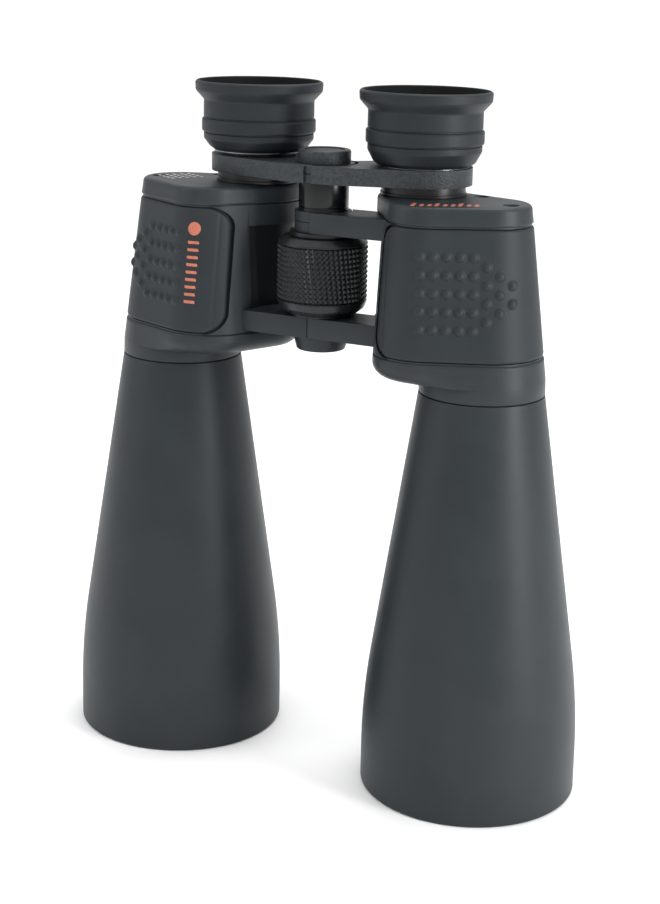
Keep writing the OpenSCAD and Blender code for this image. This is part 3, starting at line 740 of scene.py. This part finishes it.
class ArmourSurface:
    """The housing's outer wall between the armour's inner edges, as points of
    (distance along the wall from the front edge, height)."""

    LEVELS = 41
    SAMPLES = 500

    def __init__(self):
        self.heights = np.linspace(HOUSING_Z0 - 1, HOUSING_Z1 + 1, self.LEVELS)
        self.lengths = []
        self.table = []
        for z in self.heights:
            points, normals = housing_ring(z, 0.0, 160, 60)
            points, normals = np.vstack([points, points]), np.vstack([normals, normals])
            count = len(points) // 2
            start = next(i for i in range(count) if points[i, 1] < -5
                         and points[i, 0] <= ARMOUR_EDGE_X < points[i + 1, 0])
            end = next(i for i in range(start + 1, 2 * count - 1) if points[i, 1] > 5
                       and points[i, 0] > ARMOUR_EDGE_X >= points[i + 1, 0])
            part, part_normals = points[start:end + 2], normals[start:end + 2]
            run = np.concatenate([[0], np.cumsum(np.linalg.norm(np.diff(part, axis=0), axis=1))])
            first = np.interp(ARMOUR_EDGE_X, part[:2, 0], run[:2])
            last = np.interp(-ARMOUR_EDGE_X, -part[-2:, 0], run[-2:])
            where = np.linspace(first, last, self.SAMPLES)
            columns = [np.interp(where, run, column) for column in (*part.T, *part_normals.T)]
            self.lengths.append(last - first)
            self.table.append(np.stack(columns, 1))
        self.lengths = np.array(self.lengths)
        self.table = np.array(self.table)

    def length(self, z):
        return np.interp(z, self.heights, self.lengths)

    def point(self, s, z, out=0.0):
        """Surface points moved outwards by out."""
        s, z = np.broadcast_arrays(np.asarray(s, float), np.asarray(z, float))
        level = (z - self.heights[0]) / (self.heights[1] - self.heights[0])
        level = np.clip(level, 0, self.LEVELS - 1.001)
        along = np.clip(s / self.length(z), 0, 0.9999) * (self.SAMPLES - 1)
        i, j = level.astype(int), along.astype(int)
        u, v = (level - i)[..., None], (along - j)[..., None]
        t = self.table
        found = ((t[i, j] * (1 - v) + t[i, j + 1] * v) * (1 - u)
                 + (t[i + 1, j] * (1 - v) + t[i + 1, j + 1] * v) * u)
        normal = found[..., 2:] / np.linalg.norm(found[..., 2:], axis=-1, keepdims=True)
        place_xy = found[..., :2] + normal * np.asarray(out)[..., None]
        return np.concatenate([place_xy, z[..., None]], -1)


DOT_S0 = 22.2
DOT_PITCH_S = 4.92
DOT_PITCH_Z = 6.68
DOT_RADIUS = 1.95
DOT_HEIGHT = 1.15
DOT_SPHERE = (DOT_RADIUS ** 2 + DOT_HEIGHT ** 2) / (2 * DOT_HEIGHT)
DOT_COLUMNS = (5, 5, 5, 5, 5, 4, 3, 2)
ARMOUR_ROUND = 1.1
CREASE_S = 5.6
FRONT_STEP = 0.32
BACK_STEP = 1.3
FINE_TO = DOT_S0 + DOT_PITCH_S * (len(DOT_COLUMNS) - 1) + 4


def dot_places():
    """Grip dots in an arrow that points outwards."""
    middle = (HOUSING_Z0 + HOUSING_Z1) / 2 + 1.0
    for k, count in enumerate(DOT_COLUMNS):
        for row in range(count):
            yield DOT_S0 + DOT_PITCH_S * k, middle + DOT_PITCH_Z * (row - (count - 1) / 2)


def armour_relief(s, z, edge):
    """Height of the armour's outer face: rounded edges, grip dots and one soft crease."""
    near = np.clip(edge, 0, ARMOUR_ROUND)
    out = -(ARMOUR_ROUND - np.sqrt(np.maximum(0, ARMOUR_ROUND ** 2 - (ARMOUR_ROUND - near) ** 2)))
    for dot_s, dot_z in dot_places():
        away = np.minimum(np.hypot(s - dot_s, z - dot_z), DOT_RADIUS)
        out = out + np.sqrt(DOT_SPHERE ** 2 - away ** 2) - (DOT_SPHERE - DOT_HEIGHT)
    out = out - 0.16 * np.exp(-((s - CREASE_S) / 0.7) ** 2)
    return out


def graded(length, step, edge_steps=(0, 0.06, 0.18, 0.38, 0.68, 1.1)):
    """Places along a length, close together at both ends."""
    count = max(2, int(round((length - 2 * edge_steps[-1]) / step)))
    inner = np.linspace(edge_steps[-1], length - edge_steps[-1], count + 1)
    return np.concatenate([edge_steps[:-1], inner, length - np.array(edge_steps[:-1])[::-1]])


def armour_columns(shortest):
    """Places along the wall: close over the dots and wide round the back."""
    front = graded(2 * FINE_TO, FRONT_STEP)
    front = front[front <= FINE_TO]
    back = graded(2 * (shortest - FINE_TO), BACK_STEP)
    back = shortest - back[back <= shortest - FINE_TO][::-1]
    return np.concatenate([front, back[1:] if back[0] - front[-1] < 0.3 else back])


def edge_distance(surface, s, z, z0, z1):
    """How far the armour's points are from its nearest edge, with the window's round corners."""
    x_in = surface.point(s, z)[..., 0] - ARMOUR_EDGE_X
    z_in = np.minimum(z - z0, z1 - z)
    in_corner = (x_in < ARMOUR_CORNER_R) & (z_in < ARMOUR_CORNER_R)
    corner = ARMOUR_CORNER_R - np.hypot(ARMOUR_CORNER_R - x_in, ARMOUR_CORNER_R - z_in)
    edge = np.where(in_corner, corner, np.minimum(x_in, z_in))
    along = np.minimum(s, surface.length(z) - s)
    return np.minimum(edge, np.where(x_in < 4, along, edge))


def rubber_armour(name, side):
    surface = ArmourSurface()
    z0, z1 = HOUSING_Z0 + GROOVE, HOUSING_Z1 - GROOVE
    shortest = surface.lengths.min()
    columns = armour_columns(shortest)
    rows = graded(z1 - z0, FRONT_STEP) / (z1 - z0)
    inset_x = np.maximum(0, surface.point(columns, z0 + 3)[:, 0] - ARMOUR_EDGE_X)
    drop = np.maximum(0, ARMOUR_CORNER_R - inset_x)
    cut = ARMOUR_CORNER_R - np.sqrt(np.maximum(0, ARMOUR_CORNER_R ** 2 - drop ** 2))
    low, high = z0 + cut, z1 - cut
    z = low[:, None] + (high - low)[:, None] * rows
    s = np.repeat(columns[:, None], len(rows), axis=1)
    s = s + np.clip((s - FINE_TO) / (shortest - FINE_TO), 0, 1) * (surface.length(z) - shortest)
    outer = surface.point(s, z, armour_relief(s, z, edge_distance(surface, s, z, z0, z1)))
    inner = surface.point(s, z, np.full(s.shape, -(ARMOUR_T - 0.05)))
    verts = np.concatenate([outer.reshape(-1, 3), inner.reshape(-1, 3)])
    grid = np.arange(s.size).reshape(s.shape)
    skin = np.stack([grid[:-1, :-1], grid[1:, :-1], grid[1:, 1:], grid[:-1, 1:]], -1).reshape(-1, 4)
    border = np.concatenate([grid[:-1, 0], grid[-1, :-1], grid[:0:-1, -1], grid[0, :0:-1]])
    ahead = np.roll(border, -1)
    rim = np.stack([border, s.size + border, s.size + ahead, ahead], -1)
    faces = np.concatenate([skin, s.size + skin[:, ::-1], rim]).tolist()
    armour = new_object(f"{name}_armour_skin", mirrored(verts, side), faces, "armour", 50)
    place(armour, f"{name}_half", "armour", f"{name}_rubber_armour")
    return surface


def mark(surface_point, outline, side, thickness=0.1):
    """A thin printed patch with the given convex outline, laid onto a surface."""
    outline = np.array(outline, float)
    middle = outline.mean(axis=0)
    count = len(outline)
    shares = (1.0, 0.75, 0.5, 0.25)
    verts = [surface_point(u, v, -0.05) for u, v in outline]
    for share in shares:
        verts += [surface_point(u, v, thickness) for u, v in middle + (outline - middle) * share]
    verts.append(surface_point(*middle, thickness))
    last = len(shares) * count
    faces = [list(range(count))[::-1]] + bands(count, len(shares))
    faces += [[last + i, last + (i + 1) % count, len(verts) - 1] for i in range(count)]
    return mirrored(verts, side), faces


def bar_outline(u, v, width, height, lean=0.0):
    """A bar with round ends, leaning by lean."""
    radius = min(width, height) / 2 * 0.6
    a, b = width / 2 - radius, height / 2 - radius
    corners = [(a, b, 0), (-a, b, 90), (-a, -b, 180), (a, -b, 270)]
    points = []
    for cx, cy, start in corners:
        points += arc((cx, cy), radius, start, start + 90, 4)
    return [(u + x + lean * y, v + y) for x, y in points]


def marks_object(name, patches, finish, body):
    verts, faces = [], []
    for patch_verts, patch_faces in patches:
        faces += [[len(verts) + k for k in face] for face in patch_faces]
        verts += list(patch_verts)
    place(new_object(name, verts, faces, finish, 60), body, finish)


def armour_marks(surface):
    """A plain copper disc and a column of short copper bars on the user's right half."""
    centre = 15.4
    top = HOUSING_Z1 - 8.6
    patches = [mark(surface.point, arc((centre, top), 2.6, 0, 345, 23), -1)]
    for k in range(9):
        patches.append(mark(surface.point, bar_outline(centre, top - 5.4 - 2.9 * k, 4.6, 1.15, 0.25), -1))
    marks_object("right_armour_marks", patches, "copper", "right_half")


def cover_marks():
    """Plain printed dashes on the two top covers."""
    along = (OBJECTIVE - NOSE) / np.linalg.norm(OBJECTIVE - NOSE)
    across = np.array([-along[1], along[0]])

    def on_cover(u, v, out):
        return np.array([u, v, COVER_TOP + out * 0.6])

    def bar(start, side, *shape):
        return mark(on_cover, [start + a * along + b * across for a, b in bar_outline(*shape)], side)

    start = NOSE - along * 7.0 - across * 11.6
    heights = [7.6 if k % 3 == 0 else 5.0 for k in range(9)]
    bars = [bar(start, 1, 2.9 * k, height / 2, 1.5, height, 0.25) for k, height in enumerate(heights)]
    marks_object("left_cover_marks", bars, "copper", "left_half")
    start = OBJECTIVE - along * 4.0 - across * 7.0
    dashes = [bar(start, -1, 3.6 * k, 3.3 * row, 2.4, 1.0, 0.1) for row in range(5) for k in range(4)]
    marks_object("right_cover_marks", dashes, "pale", "right_half")


# ---------- eyepieces and bridge

def guide_tube(name, side):
    centre = at(EYE, side)
    top = guide_high[2]
    low = COVER_TOP
    profile = rounded([
        (GUIDE_R - 1.6, low - 2.5), (GUIDE_R - 0.6, low - 2.5), (GUIDE_R - 0.6, low + 0.02),
        (GUIDE_R, low + 0.02, 0.15), (GUIDE_R, low + 1.1, 0.15), (GUIDE_R - 0.35, low + 1.3),
        (GUIDE_R - 0.35, top - 0.2, 0.2), (OCULAR_R + 0.1, top)], 4)
    guide = revolve(f"{name}_guide", profile, centre, "black", 160, 30)
    place(guide, f"{name}_half", "black", f"{name}_guide_tube")


def eyecup_profile(z0):
    """Outer wall upwards, over the lip and back down inside, as heights from the eyecup's top."""
    body = 22.0
    foot, floor = z0 - EYECUP_TOP, -13.0
    corners = [
        (OCULAR_R + 0.05, foot), (body - 4.1, foot, 0.3), (body - 2.4, foot + 1.3, 0.8), (body - 0.15, -22.6, 1.5),
        (body - 0.15, -20.4, 0.1), (body - 0.5, -20.2), (body - 0.5, -19.9), (body + 0.45, -19.7, 0.25),
        (body + 0.6, -19.1, 0.5), (body + 0.6, -15.3, 0.4), (body + 0.3, -14.7, 0.15), (body - 0.35, -14.5),
        (body - 0.35, -14.1), (body - 0.05, -13.9, 0.1), (body - 0.1, -7.4, 1.4), (body + 2.5, -4.6, 0.9),
        (25.2, -3.6, 0.7), (25.35, -0.6, 0.7), (24.5, 0.3, 0.6), (23.6, -0.3, 0.6), (20.9, -6.0, 2.2),
        (19.8, -8.0, 2.0), (19.8, floor + 2.4, 1.2), (17.8, floor, 0.8), (14.2, floor, 0.3), (13.9, floor - 0.7),
        (11.6, floor - 0.7, 0.3), (11.5, -14.0), (OCULAR_R + 0.05, -14.0)]
    return rounded([(r, EYECUP_TOP + height, *rounding) for r, height, *rounding in corners])


def eyepiece(name, side, cup_body, ring_node):
    centre = at(EYE, side)
    z0 = cup_low[2] if side > 0 else right_cup_low[2]
    cup = revolve(f"{name}_cup_rubber", eyecup_profile(z0), centre, "eyecup", 200, 40)
    # Faces of the inner wall round the cup's mouth take the near-black painted shade in the second slot.
    cup.data.materials.append(M["inside"])
    mouth_low, mouth_r = (EYECUP_TOP - 14.5) * MM, 24.2 * MM
    for face in cup.data.polygons:
        outward = Vector((face.center[0] - centre[0] * MM, face.center[1] - centre[1] * MM, 0))
        if face.center[2] > mouth_low and face.normal.dot(outward) < 0.0 and outward.length < mouth_r:
            face.material_index = 1
    place(cup, cup_body, "eyecup", f"{name}_eyecup")
    ring_low, ring_high = box_mm(ring_node)
    ring_r = (ring_high - ring_low)[0] / 2
    low, high = ring_low[2], ring_high[2]
    ring = tube(f"{name}_cup_ring", OCULAR_R + 0.1, ring_r, low, high, centre, "bright", 0.12, 160, 3)
    place(ring, cup_body, "bright", ring_node)


def bridge_outline():
    """Plan of the left bridge arm: a ring round the eyepiece and two straight sides to the hinge."""
    x0, back_y, front_y = 1.6, HINGE[1] + 5.0, HINGE[1] - 14.4
    corners = [np.array(corner) for corner in ((x0, back_y), (x0, front_y), (x0 + 8, front_y))]

    def tangent(point, sign):
        way = EYE - point
        distance = np.linalg.norm(way)
        base = math.atan2(way[1], way[0]) + math.pi
        return math.degrees(base + sign * math.acos(BRIDGE_RING_R / distance))

    low, high = tangent(corners[2], 1), tangent(corners[0], -1)
    if high < low:
        high += 360
    return corners + arc(EYE, BRIDGE_RING_R, low, high, 72)


def bridge_arm(name, side):
    low_ring = side < 0
    middle = (BRIDGE_Z0 + BRIDGE_Z1) / 2
    outline = [(x * side, y) for x, y in bridge_outline()]
    arm = extrude(f"{name}_bridge", outline, BRIDGE_Z0, BRIDGE_Z1, "bridge")
    own = (BRIDGE_Z0, middle - JOINT_GAP) if low_ring else (middle + JOINT_GAP, BRIDGE_Z1)
    other = (middle - JOINT_GAP, BRIDGE_Z1 + 1) if low_ring else (BRIDGE_Z0 - 1, middle + JOINT_GAP)
    eye = at(EYE, side)
    cuts = [(HINGE, HUB_R + 0.5, BRIDGE_Z0 - 1, BRIDGE_Z1 + 1), (HINGE, HUB_RING_R + 0.3, *other),
            (eye, GUIDE_R + 0.3, BRIDGE_Z0 - 1, BRIDGE_Z1 - 2.0),
            (eye, OCULAR_R + 0.05, BRIDGE_Z0 - 1, BRIDGE_Z1 + 1)]
    for cut in cuts:
        bore(arm, *cut, 96)
    arm = bevel(arm, 0.5, 3, 40)
    ring = tube("ring", HUB_R + 0.08, HUB_RING_R, *own, HINGE, "bridge", 0.35, 128, 4)
    arm = join([arm, ring])
    place(arm, f"{name}_carriage", "bridge", f"{name}_bridge_arm")


def hinge_cap():
    disc_r = 7.4
    top = CAP_TOP
    cap = revolve("centre_cap", rounded([
        (0, BRIDGE_Z1), (CAP_R, BRIDGE_Z1, 0.2), (CAP_R, top, 1.1), (disc_r + 0.5, top, 0.3),
        (disc_r + 0.4, top - 1.1, 0.1), (0, top - 1.1)]), HINGE, "bridge", 128)
    place(cap, "left_carriage", "bridge", "hinge_cap")
    disc = revolve("centre_cap_disc", rounded([
        (0, top - 1.05), (disc_r, top - 1.05), (disc_r, top - 0.45, 0.25), (disc_r - 0.9, top - 0.35, 0.2),
        (disc_r - 1.4, top - 0.5, 0.2), (0, top - 0.5)]), HINGE, "armour", 96)
    place(disc, "left_carriage", "bridge", "hinge_cap_disc")
    hub = revolve("centre_hub", rounded([
        (HINGE_TUBE_R + 0.3, BRIDGE_Z0, 0.1), (HUB_R, BRIDGE_Z0, 0.3), (HUB_R, BRIDGE_Z1, 0.2), (0, BRIDGE_Z1),
        (0, BRIDGE_Z1 - 1.4), (HINGE_TUBE_R + 0.3, BRIDGE_Z1 - 1.4)]), HINGE, "black", 128)
    place(hub, "left_carriage", "black", "bridge_hub")


# ---------- hinge and focus wheel

def hinge_tube(name, z0, z1, node_name, grooves):
    """A polished tube with shallow turned grooves at the given heights."""
    profile = [(6.0, z0), (HINGE_TUBE_R, z0, 0.3)]
    for z in grooves:
        profile += [(HINGE_TUBE_R, z - 0.3, 0.1), (HINGE_TUBE_R - 0.4, z - 0.15),
                    (HINGE_TUBE_R - 0.4, z + 0.15), (HINGE_TUBE_R, z + 0.3, 0.1)]
    profile += [(HINGE_TUBE_R, z1, 0.4), (6.0, z1)]
    tube = revolve(name, rounded(profile, 4), HINGE, "gloss", 160, 30)
    place(tube, "left_half", "gloss", node_name)


def hinge_column():
    for level, grooves in (("upper", [HOUSING_Z1 + 1.3]), ("lower", [])):
        low, high = box_mm(f"{level}_hinge_tube")
        hinge_tube(f"hinge_column_{level}", low[2], high[2], f"{level}_hinge_tube", grooves)
    rooms = (LOWER_ARM_Z + ARM_T, WHEEL_Z0 - 0.2), (WHEEL_Z1 + 0.2, HOUSING_Z1 - ARM_T)
    inner = HINGE_TUBE_R + 0.1
    rings = [tube("hinge_washers", inner, WASHER_R, *room, HINGE, "screw", 0.1, 128, 3) for room in rooms]
    place(join(rings), "left_half", "spring", "thrust_washers")


def tripod_socket():
    z0, z1 = boss_low[2], boss_high[2]
    profile = [(6.1, z0, 0.2), (BOSS_R - 1.3, z0, 0.8), (BOSS_R, z1 - 0.6), (BOSS_R, z1), (6.1, z1)]
    boss = revolve("socket_boss", rounded(profile), HINGE, "housing", 128)
    place(boss, "left_half", "housing", "tripod_boss")
    depth, pitch = 9.0, 1.27
    crest, root = 2.6, 3.15
    profile = [(5.9, z0 + 0.2, 0.2), (5.9, z0 + depth), (crest, z0 + depth)]
    for k in range(6, -1, -1):
        z = z0 + 0.6 + pitch * k
        profile += [(crest, z + pitch * 0.75), (root, z + pitch * 0.5), (root, z + pitch * 0.4),
                    (crest, z + pitch * 0.15)]
    profile += [(3.3, z0 + 0.2)]
    insert = revolve("socket_thread", rounded(profile, 3), HINGE, "brass", 96, 30)
    place(insert, "left_half", "brass", "tripod_insert")


KNURL_ROUND = 54
KNURL_ROWS = 11
KNURL_SAMPLES = 8
KNURL_DEPTH = 0.75
KNURL_PROUD = 0.05


def knurl_height(turn, z, z0, z1):
    """Small pyramids in rows and slightly leaning columns."""
    row = np.clip((z - z0) / (z1 - z0), 0, 0.99999) * KNURL_ROWS
    u = (turn / (2 * math.pi) * KNURL_ROUND + 0.12 * row) % 1
    v = row % 1
    return np.clip(np.minimum(1 - abs(2 * u - 1), 1 - abs(2 * v - 1)) * 1.4 - 0.12, 0, 1)


def focus_wheel():
    grip_low, grip_high = WHEEL_Z0 + 5.4, WHEEL_Z1 - 3.2
    inner = 5.3
    pocket_r = HINGE_TUBE_R + 0.06
    pocket = 3.4
    body_r = WHEEL_R + KNURL_PROUD - KNURL_DEPTH
    body = rounded([
        (inner, WHEEL_Z0 + pocket), (pocket_r, WHEEL_Z0 + pocket), (pocket_r, WHEEL_Z0, 0.2),
        (WHEEL_R - 3.6, WHEEL_Z0, 1.2), (WHEEL_R - 0.9, WHEEL_Z0 + 2.0, 1.6),
        (WHEEL_R - 0.05, grip_low - 0.9, 0.4), (WHEEL_R - 0.1, grip_low - 0.35, 0.2),
        (body_r - 0.3, grip_low - 0.1), (body_r - 0.35, grip_low + 0.3), (body_r - 0.35, grip_high - 0.3),
        (body_r - 0.3, grip_high + 0.1), (WHEEL_R - 0.1, grip_high + 0.35, 0.2),
        (WHEEL_R - 0.15, grip_high + 1.0, 0.3), (WHEEL_R - 2.4, WHEEL_Z1, 0.5), (pocket_r, WHEEL_Z1, 0.2),
        (pocket_r, WHEEL_Z1 - pocket), (inner, WHEEL_Z1 - pocket)])
    core = revolve("wheel_core", body, HINGE, "wheel", 192, 30)
    around = KNURL_ROUND * KNURL_SAMPLES
    up = KNURL_ROWS * KNURL_SAMPLES
    heights = np.linspace(grip_low, grip_high, up + 1)
    turns = np.linspace(0, 2 * math.pi, around, endpoint=False)
    turn, z = np.meshgrid(turns, heights[[0, *range(up + 1), up]])
    radius = body_r + KNURL_DEPTH * knurl_height(turn, z, grip_low, grip_high)
    radius[[1, -2]] = body_r - 0.25
    radius[[0, -1]] = body_r - 0.6
    x, y = HINGE[0] + radius * np.cos(turn), HINGE[1] + radius * np.sin(turn)
    verts = np.stack([x, y, z], -1).reshape(-1, 3)
    last = len(verts) - around
    faces = bands(around, up + 2)
    faces += [[last + i, last + (i + 1) % around, (i + 1) % around, i] for i in range(around)]
    grip = new_object("wheel_grip", verts, faces, "wheel", 20)
    place(core, "focus_wheel", "wheel", "focus_wheel")
    place(grip, "focus_wheel", "wheel")


# ---------- CAD pieces that stay

def finish_cad_nodes():
    """Gives each CAD piece that still shows its finish."""
    wanted = {"black": ("objective_cell", "objective_retainer", "ocular_barrel", "lens_cell"),
              "lens": ("crown_lens", "flint_lens", "field_lens", "eye_lens"),
              "prism": ("upper_prism", "lower_prism"), "metal": ("prism_shelf",), "spring": ("prism_clips",),
              "spindle": ("focus_spindle",)}
    for name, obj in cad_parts.items():
        for finish, endings in wanted.items():
            if name.endswith(endings):
                for slot in obj.material_slots:
                    slot.material = M[finish]


# ---------- studio

def camera():
    made = bpy.data.objects.new("camera", bpy.data.cameras.new("camera"))
    bpy.context.scene.collection.objects.link(made)
    forward = Vector((-0.43795808, 0.87319038, -0.21384871))
    up = Vector((-0.11500823, 0.18150102, 0.97664246))
    right = forward.cross(up).normalized()
    up = right.cross(forward).normalized()
    turn = Matrix((right, up, -forward)).transposed()
    made.matrix_world = Matrix.Translation(Vector((0.30226513, -0.59960625, 0.31767923))) @ turn.to_4x4()
    made.data.lens = 69.3903
    made.data.sensor_width = 36
    made.data.shift_y = -0.12389
    made.data.clip_end = 200
    bpy.context.scene.camera = made


def area_light(name, place_at, target, size, power, colour=(1, 1, 1)):
    data = bpy.data.lights.new(name, "AREA")
    data.shape = "RECTANGLE"
    data.size, data.size_y = size
    data.energy = power
    data.color = colour
    made = bpy.data.objects.new(name, data)
    bpy.context.scene.collection.objects.link(made)
    made.location = place_at
    made.rotation_euler = (Vector(target) - Vector(place_at)).to_track_quat("-Z", "Y").to_euler()


def studio():
    scene = bpy.context.scene
    scene.view_settings.view_transform = "Standard"
    world = bpy.data.worlds.new("studio")
    world.use_nodes = True
    sky = world.node_tree
    above = node(sky, "ShaderNodeTexCoord", {}).outputs["Generated"]
    height = node(sky, "ShaderNodeSeparateXYZ", {0: above}).outputs["Z"]
    strength = span(sky, height, 0.45, 1.45, 0.0, 1.0)
    fill(sky, sky.nodes["Background"], {"Color": (1, 1, 1, 1), "Strength": strength})
    scene.world = world
    mesh = bpy.data.meshes.new("floor")
    corners = [(40 * x, 40 * y, 0) for x, y in ((-1, -1), (1, -1), (1, 1), (-1, 1))]
    mesh.from_pydata(corners, [], [(0, 1, 2, 3)])
    made, tree, shader, coords = new_material("floor_paper")
    paper = tones(tree, noise(tree, coords, 12, 2.0), (0.93, 0.93, 0.935), (0.95, 0.95, 0.955))
    fill(tree, shader, {"Base Color": paper, "Roughness": 0.9})
    mesh.materials.append(made)
    floor = bpy.data.objects.new("floor", mesh)
    scene.collection.objects.link(floor)
    target = (0.0, 0.0, 0.14)
    area_light("key", (1.35, -0.18, 0.50), target, (0.38, 0.95), 15)
    area_light("fill", (-1.1, -0.9, 0.75), target, (0.5, 0.9), 4)
    area_light("top", (0.0, 0.35, 1.3), target, (0.8, 0.5), 7)


camera()
studio()
for half, sign in SIDES.items():
    objective_barrel(half, sign)
    bottom_cover(half, sign)
    top_cover(half, sign)
    cover_screws(half, sign)
    housing_casting(half, sign)
    armour_surface = rubber_armour(half, sign)
    guide_tube(half, sign)
    bridge_arm(half, sign)
eyepiece("left", 1, "left_carriage", "left_eyecup_ring")
eyepiece("right", -1, "right_eyecup_turn", "right_diopter_ring")
armour_marks(armour_surface)
cover_marks()
hinge_cap()
hinge_column()
tripod_socket()
focus_wheel()
finish_cad_nodes()

bpy.context.view_layer.update()
